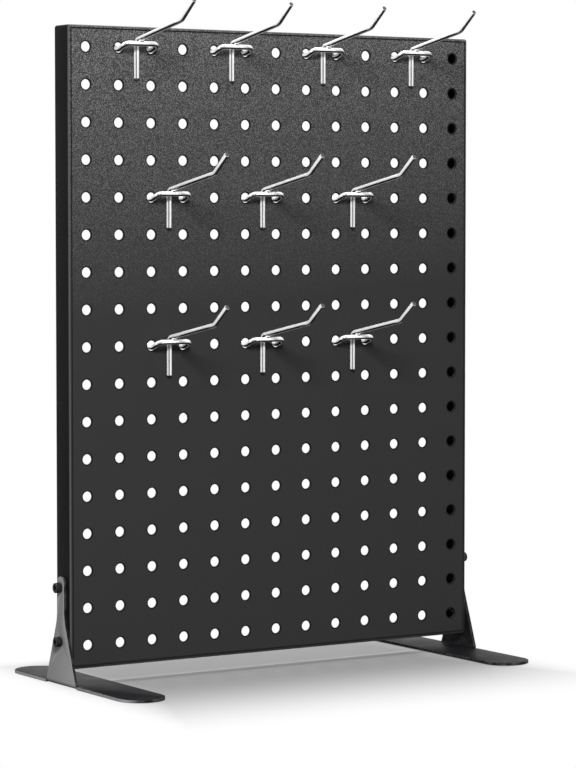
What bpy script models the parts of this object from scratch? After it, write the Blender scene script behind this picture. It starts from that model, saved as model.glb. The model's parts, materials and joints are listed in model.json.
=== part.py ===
"""Free-standing pegboard display stand with ten two-prong wire hooks, in metres, +Z up.

A punched steel sheet is folded back on all four sides into a shallow open-backed tray. It stands between
two bent steel feet, and two socket screws with nuts hold each foot to a side flange. Each hook is two
wires: a crossbar whose ends bend back through neighbouring holes and curve up behind the board, and an
arm that passes over the crossbar and bends down into a leg resting on the board.

The origin lies on the ground, midway between the sole tips. The perforated face looks along -Y, and +X is
to the right of someone who looks at it.
"""

import math

import bmesh
import bpy
from mathutils import Matrix, Vector

# Shared clearances
FIT_GAP = 0.0003
CUT_OVERRUN = 0.002

# Hole grid of the panel
HOLE_PITCH = 0.0254
HOLE_COLUMNS = 13
HOLE_ROWS = 17
HOLE_DIAMETER = 0.007
HOLE_SIDES = 8

# Panel, one folded sheet
SHEET = 0.0012
SIDE_MARGIN = 0.0136
TOP_MARGIN = 0.0146
BOTTOM_MARGIN = 0.016
FLANGE_DEPTH = 0.020
RETURN_LIP = 0.008
FOLD_INNER_RADIUS = 0.0005
FOLD_SEGMENTS = 2
GROUND_CLEARANCE = 0.012

# Feet, one bent plate each
FOOT_SHEET = 0.002
SOLE_WIDTH = 0.034
FRONT_REACH = 0.095
REAR_REACH = 0.080
TAB_HEIGHT = 0.075
TAB_WIDTH = 0.010
TAB_BASE_WIDTH = 0.042
TAB_NECK_HEIGHT = 0.046
FOOT_BEND_RADIUS = 0.003
ROUND_END_STEPS = 14
BEND_STEPS = 4

# Screws and nuts
SCREW_DIAMETER = 0.004
SCREW_LENGTH = 0.010
SCREW_CHAMFER = 0.0004
HEAD_DIAMETER = 0.007
HEAD_HEIGHT = 0.004
SOCKET_ACROSS_FLATS = 0.003
SOCKET_DEPTH = 0.002
NUT_ACROSS_FLATS = 0.007
NUT_HEIGHT = 0.0032
UPPER_SCREW_INSET = 0.0076
SCREW_SPACING = 0.037
TURNED_STEPS = 16
HEX_SIDES = 6

# Hook wires
WIRE_DIAMETER = 0.0035
PRONG_ARC_RADIUS = 0.013
PRONG_REAR_ARC = math.radians(56)
PRONG_FRONT_ARC = math.radians(31)
PRONG_ARC_STEPS = 8
CROSSBAR_BEND_RADIUS = 0.0035
LEG_BOARD_GAP = 0.0004
LEG_DROP = 0.0213
LEG_BEND_RADIUS = 0.004
ARM_LENGTH = 0.061
ARM_RISE = math.radians(10)
TIP_LENGTH = 0.0206
TIP_RISE = math.radians(38)
TIP_BEND_RADIUS = 0.009
WIRE_BEND_STEPS = 4
WIRE_BEVEL_RESOLUTION = 2

# Hooks: name of the row, hole row from the top, left hole column of each hook
HOOK_ROWS = (
    ("top", 1, (2, 5, 8, 11)),
    ("middle", 5, (3, 6, 9)),
    ("lower", 9, (3, 6, 9)),
)

# Colours of the finishes
PANEL_BLACK = (0.045, 0.045, 0.047, 1.0)
FOOT_BLACK = (0.040, 0.040, 0.042, 1.0)
SCREW_BLACK = (0.018, 0.018, 0.020, 1.0)
CHROME = (0.82, 0.83, 0.85, 1.0)

# Places worked out from the sizes above
PANEL_WIDTH = (HOLE_COLUMNS - 1) * HOLE_PITCH + 2 * SIDE_MARGIN
PANEL_HEIGHT = (HOLE_ROWS - 1) * HOLE_PITCH + TOP_MARGIN + BOTTOM_MARGIN
FLANGE_MID_Y = (FRONT_REACH - REAR_REACH) / 2
PANEL_FRONT_Y = FLANGE_MID_Y - FLANGE_DEPTH / 2
SHEET_MID_Y = PANEL_FRONT_Y + SHEET / 2
PANEL_MID_Z = GROUND_CLEARANCE + PANEL_HEIGHT / 2
FOLD_OUTER_RADIUS = FOLD_INNER_RADIUS + SHEET
TAB_INNER_X = PANEL_WIDTH / 2 + FIT_GAP
TAB_OUTER_X = TAB_INNER_X + FOOT_SHEET
UPPER_SCREW_Z = TAB_HEIGHT - UPPER_SCREW_INSET
LOWER_SCREW_Z = UPPER_SCREW_Z - SCREW_SPACING
SCREW_HOLE_RADIUS = (SCREW_DIAMETER / 2 + FIT_GAP) / math.cos(math.pi / TURNED_STEPS)
WIRE_RADIUS = WIRE_DIAMETER / 2
HOLE_APOTHEM = HOLE_DIAMETER / 2 * math.cos(math.pi / HOLE_SIDES)
PRONG_DROP = HOLE_APOTHEM - FIT_GAP - WIRE_RADIUS


def clear_scene():
    """Removes whatever the file holds, so that the model is all there is."""
    for item in list(bpy.data.objects):
        bpy.data.objects.remove(item)


def new_collection(name):
    """A collection linked to the scene."""
    collection = bpy.data.collections.new(name)
    bpy.context.scene.collection.children.link(collection)
    return collection


def new_material(name, colour, roughness, metallic):
    """A Principled material with one colour."""
    material = bpy.data.materials.new(name)
    material.use_nodes = True
    shader = material.node_tree.nodes["Principled BSDF"]
    shader.inputs["Base Color"].default_value = colour
    shader.inputs["Roughness"].default_value = roughness
    shader.inputs["Metallic"].default_value = metallic
    material.diffuse_color = colour
    return material


def link_object(name, data, collection, material=None):
    """An object for a mesh or curve, in one collection and with one material."""
    made = bpy.data.objects.new(name, data)
    collection.objects.link(made)
    if material is not None:
        data.materials.append(material)
    return made


def mesh_object(name, shape, collection, material=None):
    """An object that takes over a finished bmesh."""
    mesh = bpy.data.meshes.new(name)
    shape.to_mesh(mesh)
    shape.free()
    return link_object(name, mesh, collection, material)


def as_cutter(cutter):
    """Marks an object as a tool for Booleans that is never rendered."""
    cutter.hide_render = True
    cutter.display_type = "WIRE"
    return cutter


def cut(target, cutter, operation="DIFFERENCE"):
    """A Boolean with the exact solver, kept as a modifier."""
    modifier = target.modifiers.new(cutter.name, "BOOLEAN")
    modifier.object = cutter
    modifier.operation = operation
    modifier.solver = "EXACT"
    return modifier


def smooth(target, angle):
    """Smooth shading with edges sharper than the angle kept crisp."""
    target.data.shade_smooth()
    target.data.set_sharp_from_angle(angle=angle)


def arc(centre, radius, start, end, steps):
    """Points on a circle in a plane, both ends included."""
    return [
        (
            centre[0] + radius * math.cos(start + (end - start) * step / steps),
            centre[1] + radius * math.sin(start + (end - start) * step / steps),
        )
        for step in range(steps + 1)
    ]


def outline_plate(name, points, thickness, collection, material=None):
    """A flat plate from a closed outline, as a mesh whose caps are welded to its rim."""
    curve = bpy.data.curves.new(name + "_outline", "CURVE")
    curve.dimensions = "2D"
    curve.fill_mode = "BOTH"
    curve.extrude = thickness / 2
    spline = curve.splines.new("POLY")
    spline.points.add(len(points) - 1)
    for point, (across, up) in zip(spline.points, points):
        point.co = (across, up, 0.0, 1.0)
    spline.use_cyclic_u = True
    outline = link_object(name + "_outline", curve, collection)
    bpy.context.view_layer.update()
    evaluated = outline.evaluated_get(bpy.context.evaluated_depsgraph_get())
    mesh = bpy.data.meshes.new_from_object(evaluated)
    shape = bmesh.new()
    shape.from_mesh(mesh)
    bmesh.ops.remove_doubles(shape, verts=shape.verts, dist=FIT_GAP / 10)
    bmesh.ops.recalc_face_normals(shape, faces=shape.faces)
    shape.to_mesh(mesh)
    shape.free()
    mesh.name = name
    plate = link_object(name, mesh, collection, material)
    plate.matrix_world = outline.matrix_world
    bpy.data.objects.remove(outline)
    return plate


def stand_along_y(plate):
    """Turns a plate drawn in XY so that it stands upright, its outline in YZ and its thickness along X."""
    plate.rotation_euler = (math.pi / 2, 0.0, math.pi / 2)


def stand_along_x(plate):
    """Turns a plate drawn in XY so that its outline lies in XZ and its thickness along Y."""
    plate.rotation_euler = (math.pi / 2, 0.0, 0.0)


def column_x(column):
    """Centre of a hole column, counted from 1 at the left."""
    return (column - (HOLE_COLUMNS + 1) / 2) * HOLE_PITCH


def row_z(row):
    """Centre of a hole row, counted from 1 at the top."""
    return GROUND_CLEARANCE + BOTTOM_MARGIN + (HOLE_ROWS - row) * HOLE_PITCH


def make_peg_hole_cutter(collection):
    """All holes of the grid as one mesh of prisms, each with a flat side at the bottom."""
    shape = bmesh.new()
    depth = SHEET + 2 * CUT_OVERRUN
    lay_along_y = Matrix.Rotation(math.pi / 2, 4, "X")
    flat_side_down = Matrix.Rotation(math.pi / HOLE_SIDES, 4, "Z")
    for column in range(1, HOLE_COLUMNS + 1):
        for row in range(1, HOLE_ROWS + 1):
            place = Matrix.Translation((column_x(column), SHEET_MID_Y, row_z(row)))
            bmesh.ops.create_cone(
                shape,
                cap_ends=True,
                segments=HOLE_SIDES,
                radius1=HOLE_DIAMETER / 2,
                radius2=HOLE_DIAMETER / 2,
                depth=depth,
                matrix=place @ lay_along_y @ flat_side_down,
            )
    return as_cutter(mesh_object("peg_hole_cutter", shape, collection))


def make_screw_hole_cutter(side, collection):
    """The two screw holes of one side, which run through the foot's tab and the panel's flange."""
    shape = bmesh.new()
    inner_x = PANEL_WIDTH / 2 - SHEET - CUT_OVERRUN
    outer_x = TAB_OUTER_X + CUT_OVERRUN
    lay_along_x = Matrix.Rotation(math.pi / 2, 4, "Y")
    for height in (UPPER_SCREW_Z, LOWER_SCREW_Z):
        place = Matrix.Translation((side * (inner_x + outer_x) / 2, FLANGE_MID_Y, height))
        bmesh.ops.create_cone(
            shape,
            cap_ends=True,
            segments=TURNED_STEPS,
            radius1=SCREW_HOLE_RADIUS,
            radius2=SCREW_HOLE_RADIUS,
            depth=outer_x - inner_x,
            matrix=place @ lay_along_x,
        )
    name = side_name(side) + "_screw_hole_cutter"
    return as_cutter(mesh_object(name, shape, collection))


def side_name(side):
    """left for -1, right for +1."""
    return "left" if side < 0 else "right"


def make_panel(parts, hole_cutters, paint):
    """The folded tray: a box without its back, lips turned in around the opening, walls one sheet thick."""
    shape = bmesh.new()
    place = Matrix.Translation((0.0, FLANGE_MID_Y, PANEL_MID_Z))
    size = Matrix.Diagonal((PANEL_WIDTH, FLANGE_DEPTH, PANEL_HEIGHT, 1.0))
    bmesh.ops.create_cube(shape, size=1.0, matrix=place @ size)
    rear = max(shape.faces, key=lambda face: face.calc_center_median().y)
    bmesh.ops.inset_region(shape, faces=[rear], thickness=RETURN_LIP, use_even_offset=True)
    bmesh.ops.delete(shape, geom=[rear], context="FACES")
    panel = mesh_object("pegboard_panel", shape, parts, paint)

    fold = panel.modifiers.new("folded_edges", "BEVEL")
    fold.width = FOLD_OUTER_RADIUS
    fold.segments = FOLD_SEGMENTS
    fold.limit_method = "ANGLE"
    fold.angle_limit = math.radians(60)

    wall = panel.modifiers.new("sheet", "SOLIDIFY")
    wall.thickness = SHEET
    wall.offset = -1.0
    wall.use_even_offset = True

    for cutter in hole_cutters:
        cut(panel, cutter)
    return panel


def sole_outline(side):
    """Outline of one sole seen from above: straight sides and full-round ends."""
    radius = SOLE_WIDTH / 2
    middle = side * (TAB_OUTER_X - radius)
    front = (middle, FLANGE_MID_Y - FRONT_REACH + radius)
    rear = (middle, FLANGE_MID_Y + REAR_REACH - radius)
    front_end = arc(front, radius, math.pi, 2 * math.pi, ROUND_END_STEPS)
    rear_end = arc(rear, radius, 0.0, math.pi, ROUND_END_STEPS)
    return front_end + rear_end


def tab_outline():
    """Outline of one tab seen from the side: a wide base, a taper, a straight neck and a round top."""
    radius = TAB_WIDTH / 2
    top = arc((FLANGE_MID_Y, TAB_HEIGHT - radius), radius, 0.0, math.pi, ROUND_END_STEPS)
    base_front = (FLANGE_MID_Y - TAB_BASE_WIDTH / 2, 0.0)
    base_rear = (FLANGE_MID_Y + TAB_BASE_WIDTH / 2, 0.0)
    shoulder_front = (FLANGE_MID_Y - TAB_BASE_WIDTH / 2, FOOT_SHEET)
    shoulder_rear = (FLANGE_MID_Y + TAB_BASE_WIDTH / 2, FOOT_SHEET)
    neck_front = (FLANGE_MID_Y - radius, TAB_NECK_HEIGHT)
    neck_rear = (FLANGE_MID_Y + radius, TAB_NECK_HEIGHT)
    return [base_front, base_rear, shoulder_rear, neck_rear, *top, neck_front, shoulder_front]


def bend_corner_outline(side):
    """The corner that the bend rounds off under the tab, seen from the front."""
    centre = (side * (TAB_OUTER_X - FOOT_BEND_RADIUS), FOOT_BEND_RADIUS)
    downward = 1.5 * math.pi
    outward = downward + side * math.pi / 2
    bend = arc(centre, FOOT_BEND_RADIUS, downward, outward, BEND_STEPS)
    outer = side * (TAB_OUTER_X + CUT_OVERRUN)
    return [*bend, (outer, FOOT_BEND_RADIUS), (outer, -CUT_OVERRUN), (centre[0], -CUT_OVERRUN)]


def make_foot(side, parts, cutters, screw_holes, paint):
    """One bent plate: a sole that lies on the ground and a tab that stands against the flange."""
    name = side_name(side) + "_foot"
    foot = outline_plate(name, sole_outline(side), FOOT_SHEET, parts, paint)
    foot.location.z = FOOT_SHEET / 2

    tab = as_cutter(outline_plate(name + "_tab", tab_outline(), FOOT_SHEET, cutters))
    stand_along_y(tab)
    tab.location.x = side * (TAB_INNER_X + TAB_OUTER_X) / 2

    corner = as_cutter(
        outline_plate(name + "_bend_corner", bend_corner_outline(side), TAB_BASE_WIDTH, cutters)
    )
    stand_along_x(corner)
    corner.location.y = FLANGE_MID_Y

    cut(foot, tab, "UNION")
    cut(foot, corner)
    cut(foot, screw_holes)
    return foot


def make_screw(side, height, level, parts, cutters, finish):
    """A socket head screw, turned around the axis that runs through tab and flange."""
    name = side_name(side) + "_" + level + "_screw"
    head = HEAD_DIAMETER / 2
    shank = SCREW_DIAMETER / 2
    profile = [
        (0.0, HEAD_HEIGHT),
        (head - SCREW_CHAMFER, HEAD_HEIGHT),
        (head, HEAD_HEIGHT - SCREW_CHAMFER),
        (head, 0.0),
        (shank, 0.0),
        (shank, -SCREW_LENGTH + SCREW_CHAMFER),
        (shank - SCREW_CHAMFER, -SCREW_LENGTH),
        (0.0, -SCREW_LENGTH),
    ]
    shape = bmesh.new()
    points = [shape.verts.new((radius, 0.0, along)) for radius, along in profile]
    for first, second in zip(points, points[1:]):
        shape.edges.new((first, second))
    screw = mesh_object(name, shape, parts, finish)
    turn = screw.modifiers.new("turned", "SCREW")
    turn.steps = TURNED_STEPS
    turn.render_steps = TURNED_STEPS
    turn.use_merge_vertices = True
    turn.merge_threshold = FIT_GAP / 10

    socket_shape = bmesh.new()
    bmesh.ops.create_cone(
        socket_shape,
        cap_ends=True,
        segments=HEX_SIDES,
        radius1=SOCKET_ACROSS_FLATS / 2 / math.cos(math.pi / HEX_SIDES),
        radius2=SOCKET_ACROSS_FLATS / 2 / math.cos(math.pi / HEX_SIDES),
        depth=SOCKET_DEPTH + CUT_OVERRUN,
        matrix=Matrix.Translation((0.0, 0.0, HEAD_HEIGHT + (CUT_OVERRUN - SOCKET_DEPTH) / 2)),
    )
    socket = as_cutter(mesh_object(name + "_socket", socket_shape, cutters))
    cut(screw, socket)

    seat = Vector((side * (TAB_OUTER_X + FIT_GAP), FLANGE_MID_Y, height))
    for item in (screw, socket):
        item.location = seat
        item.rotation_euler = (0.0, side * math.pi / 2, 0.0)
    return screw


def make_nut(side, height, level, parts, cutters, finish):
    """A hexagon nut on the inner side of the flange, bored to clear the screw."""
    name = side_name(side) + "_" + level + "_nut"
    shape = bmesh.new()
    bmesh.ops.create_cone(
        shape,
        cap_ends=True,
        segments=HEX_SIDES,
        radius1=NUT_ACROSS_FLATS / 2 / math.cos(math.pi / HEX_SIDES),
        radius2=NUT_ACROSS_FLATS / 2 / math.cos(math.pi / HEX_SIDES),
        depth=NUT_HEIGHT,
    )
    nut = mesh_object(name, shape, parts, finish)

    bore_shape = bmesh.new()
    bmesh.ops.create_cone(
        bore_shape,
        cap_ends=True,
        segments=TURNED_STEPS,
        radius1=SCREW_HOLE_RADIUS,
        radius2=SCREW_HOLE_RADIUS,
        depth=NUT_HEIGHT + 2 * CUT_OVERRUN,
    )
    bore = as_cutter(mesh_object(name + "_bore", bore_shape, cutters))
    cut(nut, bore)

    flange_inner_x = PANEL_WIDTH / 2 - SHEET
    middle = Vector((side * (flange_inner_x - FIT_GAP - NUT_HEIGHT / 2), FLANGE_MID_Y, height))
    for item in (nut, bore):
        item.location = middle
        item.rotation_euler = (0.0, side * math.pi / 2, 0.0)
    return nut


def wire(name, points, collection, material):
    """A round wire along a chain of points, with closed ends."""
    curve = bpy.data.curves.new(name, "CURVE")
    curve.dimensions = "3D"
    curve.bevel_depth = WIRE_RADIUS
    curve.bevel_resolution = WIRE_BEVEL_RESOLUTION
    curve.use_fill_caps = True
    spline = curve.splines.new("POLY")
    spline.points.add(len(points) - 1)
    for point, place in zip(spline.points, points):
        point.co = (*place, 1.0)
    spline.use_smooth = True
    return link_object(name, curve, collection, material)


def rounded_path(corners, radii):
    """A chain of points through the corners of a bent wire, with an arc of the given radius at each one."""
    path = [corners[0]]
    for before, corner, after, radius in zip(corners, corners[1:], corners[2:], radii):
        incoming = (corner - before).normalized()
        outgoing = (after - corner).normalized()
        turn = incoming.angle(outgoing)
        start = corner - incoming * radius * math.tan(turn / 2)
        inward = (outgoing - incoming * incoming.dot(outgoing)).normalized()
        for step in range(WIRE_BEND_STEPS + 1):
            angle = turn * step / WIRE_BEND_STEPS
            along = incoming * radius * math.sin(angle)
            path.append(start + along + inward * radius * (1 - math.cos(angle)))
    path.append(corners[-1])
    return path


def crossbar_place():
    """Y and Z of the crossbar's axis, measured from the axis that the hook tilts about."""
    sine = math.sin(PRONG_FRONT_ARC)
    cosine = math.cos(PRONG_FRONT_ARC)
    forward = PRONG_ARC_RADIUS * sine + CROSSBAR_BEND_RADIUS * cosine
    below = PRONG_ARC_RADIUS * cosine - CROSSBAR_BEND_RADIUS * sine
    return -forward, -below


def crossbar_path():
    """From the left prong's tip, through its hole and along the bar, to the right prong's tip.

    Both prongs follow a circle around the tilt axis, so they slide through their holes as it tilts.
    """
    half_span = HOLE_PITCH / 2
    left = []
    for step in range(PRONG_ARC_STEPS + 1):
        angle = PRONG_REAR_ARC - (PRONG_REAR_ARC + PRONG_FRONT_ARC) * step / PRONG_ARC_STEPS
        backward = PRONG_ARC_RADIUS * math.sin(angle)
        upward = -PRONG_ARC_RADIUS * math.cos(angle)
        left.append(Vector((-half_span, backward, upward)))
    onward = Vector((0.0, -math.cos(PRONG_FRONT_ARC), math.sin(PRONG_FRONT_ARC)))
    inward = Vector((1.0, 0.0, 0.0))
    bend_start = left[-1]
    for step in range(1, WIRE_BEND_STEPS + 1):
        angle = math.pi / 2 * step / WIRE_BEND_STEPS
        along = onward * CROSSBAR_BEND_RADIUS * math.sin(angle)
        left.append(bend_start + along + inward * CROSSBAR_BEND_RADIUS * (1 - math.cos(angle)))
    right = [Vector((-place.x, place.y, place.z)) for place in reversed(left)]
    return left + right


def arm_path():
    """From the leg's lower end up the board, over the crossbar, out along the arm and up the tip."""
    bar_y, bar_z = crossbar_place()
    leg_y = -(SHEET / 2 + LEG_BOARD_GAP + WIRE_RADIUS)
    over_bar_z = bar_z + (WIRE_DIAMETER + FIT_GAP) / math.cos(ARM_RISE)
    shoulder_z = over_bar_z - (leg_y - bar_y) * math.tan(ARM_RISE)
    hole_z = -PRONG_ARC_RADIUS + PRONG_DROP
    leg_end = Vector((0.0, leg_y, hole_z - LEG_DROP))
    shoulder = Vector((0.0, leg_y, shoulder_z))
    elbow = shoulder + ARM_LENGTH * Vector((0.0, -math.cos(ARM_RISE), math.sin(ARM_RISE)))
    tip = elbow + TIP_LENGTH * Vector((0.0, -math.cos(TIP_RISE), math.sin(TIP_RISE)))
    return rounded_path([leg_end, shoulder, elbow, tip], [LEG_BEND_RADIUS, TIP_BEND_RADIUS])


def make_hook(name, left_column, row, parts, finish):
    """One hook of two wires, parented to an empty on the axis that it tilts about."""
    middle_x = (column_x(left_column) + column_x(left_column + 1)) / 2
    pivot = bpy.data.objects.new(name + "_pivot", None)
    pivot.empty_display_size = PRONG_ARC_RADIUS
    pivot.location = (middle_x, SHEET_MID_Y, row_z(row) - PRONG_DROP + PRONG_ARC_RADIUS)
    parts.objects.link(pivot)
    crossbar = wire(name + "_crossbar", crossbar_path(), parts, finish)
    arm = wire(name + "_arm", arm_path(), parts, finish)
    for piece in (crossbar, arm):
        piece.parent = pivot
    return pivot


def main():
    clear_scene()
    parts = new_collection("pegboard_display_stand")
    cutters = new_collection("cutters")

    panel_paint = new_material("panel_paint", PANEL_BLACK, 0.55, 0.0)
    foot_paint = new_material("foot_paint", FOOT_BLACK, 0.5, 0.0)
    screw_finish = new_material("screw_finish", SCREW_BLACK, 0.4, 0.6)
    hook_finish = new_material("hook_finish", CHROME, 0.12, 1.0)

    screw_holes = {side: make_screw_hole_cutter(side, cutters) for side in (-1, 1)}
    peg_holes = make_peg_hole_cutter(cutters)
    make_panel(parts, [peg_holes, *screw_holes.values()], panel_paint)

    for side in (-1, 1):
        make_foot(side, parts, cutters, screw_holes[side], foot_paint)
        for level, height in (("upper", UPPER_SCREW_Z), ("lower", LOWER_SCREW_Z)):
            screw = make_screw(side, height, level, parts, cutters, screw_finish)
            smooth(screw, math.radians(35))
            make_nut(side, height, level, parts, cutters, screw_finish)

    for row_name, row, left_columns in HOOK_ROWS:
        for number, left_column in enumerate(left_columns, start=1):
            make_hook(f"hook_{row_name}_{number}", left_column, row, parts, hook_finish)

    bpy.context.view_layer.update()


main()
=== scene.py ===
# %% [markdown]
# # A pegboard display stand, dressed for its photograph
#
# The stand is a punched steel board between two bent steel feet, with ten wire hooks hung in its holes. A
# plain CAD model of it is loaded first. It fixes every size and every joint. The lesson then builds a
# finer piece over each plain one, gives each its finish, and lights the result on a white table.

# %% The CAD model as a frame
import json
import math

import bmesh
import bpy
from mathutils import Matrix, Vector


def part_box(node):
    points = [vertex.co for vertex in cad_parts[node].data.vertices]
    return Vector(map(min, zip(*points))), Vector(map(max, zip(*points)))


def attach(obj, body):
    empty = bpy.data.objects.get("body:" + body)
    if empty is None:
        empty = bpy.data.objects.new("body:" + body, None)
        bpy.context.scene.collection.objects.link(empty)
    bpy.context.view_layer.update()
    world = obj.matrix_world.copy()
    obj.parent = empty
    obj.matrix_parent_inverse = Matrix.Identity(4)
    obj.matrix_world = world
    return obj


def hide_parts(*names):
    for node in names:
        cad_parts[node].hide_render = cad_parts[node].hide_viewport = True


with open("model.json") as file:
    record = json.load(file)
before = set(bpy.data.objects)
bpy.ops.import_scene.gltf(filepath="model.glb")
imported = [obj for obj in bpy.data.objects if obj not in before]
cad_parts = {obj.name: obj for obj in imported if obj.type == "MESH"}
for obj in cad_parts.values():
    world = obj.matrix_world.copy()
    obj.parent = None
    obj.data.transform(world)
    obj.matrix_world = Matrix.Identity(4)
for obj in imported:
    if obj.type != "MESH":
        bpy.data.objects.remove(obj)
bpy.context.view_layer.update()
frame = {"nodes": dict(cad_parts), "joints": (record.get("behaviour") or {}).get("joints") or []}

print("pieces in the CAD model:", len(frame["nodes"]))

# %% [markdown]
# ## Selecting by place
#
# By hand you would click on the edges that the next operator should change. A script has no mouse, so it
# asks each vertex, edge or face where it is, and selects it if the answer is yes. Everything else is
# deselected first, because an operator acts on all that is selected, and the loaded CAD pieces still are.

# %% Helpers for selecting and editing
TOUCH = 0.00002


def start_piece(name):
    """Names the primitive that was just added and moves its place from the object into the mesh."""
    piece = bpy.context.object
    piece.name = name
    piece.data.name = name
    bpy.ops.object.transform_apply(location=True, rotation=True, scale=True)
    return piece


def only(piece):
    """Selects this piece alone and makes it active."""
    bpy.ops.object.select_all(action="DESELECT")
    piece.select_set(True)
    bpy.context.view_layer.objects.active = piece


def edit(piece):
    """Opens this piece in edit mode with all of it selected."""
    only(piece)
    bpy.ops.object.mode_set(mode="EDIT")
    bpy.ops.mesh.select_mode(type="VERT")
    bpy.ops.mesh.select_all(action="SELECT")


def close_edit():
    """Goes back to object mode."""
    bpy.ops.object.mode_set(mode="OBJECT")


def pick(piece, kind, wanted):
    """Selects the vertices, edges or faces that pass a test, and says how many there were."""
    bpy.ops.mesh.select_all(action="DESELECT")
    bpy.ops.mesh.select_mode(type=kind)
    shape = bmesh.from_edit_mesh(piece.data)
    parts = {"VERT": shape.verts, "EDGE": shape.edges, "FACE": shape.faces}[kind]
    found = [part for part in parts if wanted(part)]
    for part in found:
        part.select_set(True)
    shape.select_flush_mode()
    bmesh.update_edit_mesh(piece.data)
    return len(found)


def both_ends(test):
    """Turns a test of a point into a test of an edge's two ends."""
    return lambda edge: all(test(corner.co) for corner in edge.verts)


def apply_modifier(piece, kind, **settings):
    """Adds one modifier, sets it up and applies it."""
    only(piece)
    modifier = piece.modifiers.new(kind.lower(), kind)
    for name, value in settings.items():
        setattr(modifier, name, value)
    bpy.ops.object.modifier_apply(modifier=modifier.name)


def cut_away(piece, cutter, operation="DIFFERENCE"):
    """Takes the cutter's shape out of the piece and throws the cutter away."""
    apply_modifier(piece, "BOOLEAN", object=cutter, operation=operation, solver="EXACT")
    bpy.data.objects.remove(cutter)


def outward_normals():
    """Turns every face of the open piece outwards."""
    bpy.ops.mesh.select_all(action="SELECT")
    bpy.ops.mesh.remove_doubles(threshold=TOUCH)
    bpy.ops.mesh.normals_make_consistent(inside=False)


def shade(piece, degrees):
    """Smooth shading that keeps edges sharper than the angle crisp."""
    only(piece)
    bpy.ops.object.shade_smooth_by_angle(angle=math.radians(degrees))


print("helpers ready")

# %% [markdown]
# ## The punched board
#
# The real board is one thin steel sheet. A press punches a square grid of round holes, a brake folds the
# four sides back, and short lips turn in along the rear. A Boolean with 221 cylinders would do it, but it
# leaves ragged faces around each hole. Here one square of sheet with one round hole is modelled, and two
# Array modifiers repeat it, so every hole keeps a clean ring of faces.

# %% One square of sheet with its hole
HOLE_PITCH = 0.0254
HOLE_RADIUS = 0.0035
HOLE_SIDES = 24
COLUMNS = 13
ROWS = 17
BOTTOM_MARGIN = 0.016
board_low, board_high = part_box("pegboard_panel")
board_middle = (board_low + board_high) / 2
first_hole = Vector((-(COLUMNS - 1) / 2 * HOLE_PITCH, board_low.y, board_low.z + BOTTOM_MARGIN))
FACING_FRONT = (math.pi / 2, 0, 0)

bpy.ops.object.select_all(action="DESELECT")
bpy.ops.mesh.primitive_plane_add(size=HOLE_PITCH, location=first_hole, rotation=FACING_FRONT)
board = start_piece("punched_board")
edit(board)
bpy.ops.mesh.subdivide(number_cuts=HOLE_SIDES // 4 - 1)


def inside_square(corner):
    """True for the vertices that don't lie on the square's rim."""
    away = corner.co - first_hole
    return max(abs(away.x), abs(away.z)) < HOLE_PITCH / 2 - TOUCH


pick(board, "VERT", inside_square)
bpy.ops.mesh.delete(type="VERT")
bpy.ops.mesh.primitive_circle_add(
    vertices=HOLE_SIDES, radius=HOLE_RADIUS, location=first_hole, rotation=FACING_FRONT
)
bpy.ops.mesh.select_all(action="SELECT")
bpy.ops.mesh.select_mode(type="EDGE")
bpy.ops.mesh.bridge_edge_loops()
close_edit()
print("faces around one hole:", len(board.data.polygons))

# %% Repeat the square over the whole grid
for offset, count in (((HOLE_PITCH, 0, 0), COLUMNS), ((0, 0, HOLE_PITCH), ROWS)):
    apply_modifier(
        board,
        "ARRAY",
        count=count,
        use_relative_offset=False,
        use_constant_offset=True,
        constant_offset_displace=offset,
        use_merge_vertices=True,
        merge_threshold=TOUCH,
    )
print("faces in the punched field:", len(board.data.polygons))

# %% Line the rim up with the fold
FOLD_ROOM = 0.002
field_low = first_hole - Vector((HOLE_PITCH / 2, 0, HOLE_PITCH / 2))
field_high = field_low + Vector((COLUMNS * HOLE_PITCH, 0, ROWS * HOLE_PITCH))
edit(board)
for axis in (0, 2):
    for rim, wanted in (
        (field_low[axis], board_low[axis] + FOLD_ROOM),
        (field_high[axis], board_high[axis] - FOLD_ROOM),
    ):
        pick(board, "VERT", lambda corner: abs(corner.co[axis] - rim) < TOUCH)
        shift = Vector((0, 0, 0))
        shift[axis] = wanted - rim
        bpy.ops.transform.translate(value=shift)
close_edit()
print("board is", round((board_high.x - board_low.x) * 1000, 1), "mm wide")

# %% Fold the sides back and turn the lips in
RETURN_LIP = 0.008
half_width = (board_high.x - board_low.x) / 2
half_height = (board_high.z - board_low.z) / 2


def on_outer_rim(edge):
    """True for the rim edges of the sheet, and false for the edges of the holes."""
    if not edge.is_boundary:
        return False
    return all(
        abs(corner.co.x) > half_width - FOLD_ROOM - TOUCH
        or abs(corner.co.z - board_middle.z) > half_height - FOLD_ROOM - TOUCH
        for corner in edge.verts
    )


def extrude_rim(back, across, up):
    """Extrudes the selected rim, moves it back and scales it about the board's middle."""
    bpy.ops.mesh.extrude_region_move(TRANSFORM_OT_translate={"value": (0, back, 0)})
    bpy.ops.transform.resize(value=(across, 1, up), center_override=board_middle)


edit(board)
print("rim edges:", pick(board, "EDGE", on_outer_rim))
extrude_rim(0, half_width / (half_width - FOLD_ROOM), half_height / (half_height - FOLD_ROOM))
extrude_rim(board_high.y - board_low.y, 1, 1)
extrude_rim(0, 1 - RETURN_LIP / half_width, 1 - RETURN_LIP / half_height)
outward_normals()
sheet_faces = bmesh.from_edit_mesh(board.data).faces
front = next(face for face in sheet_faces if face.calc_center_median().y < board_low.y + TOUCH)
if front.normal.y > 0:
    bpy.ops.mesh.flip_normals()
close_edit()

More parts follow.
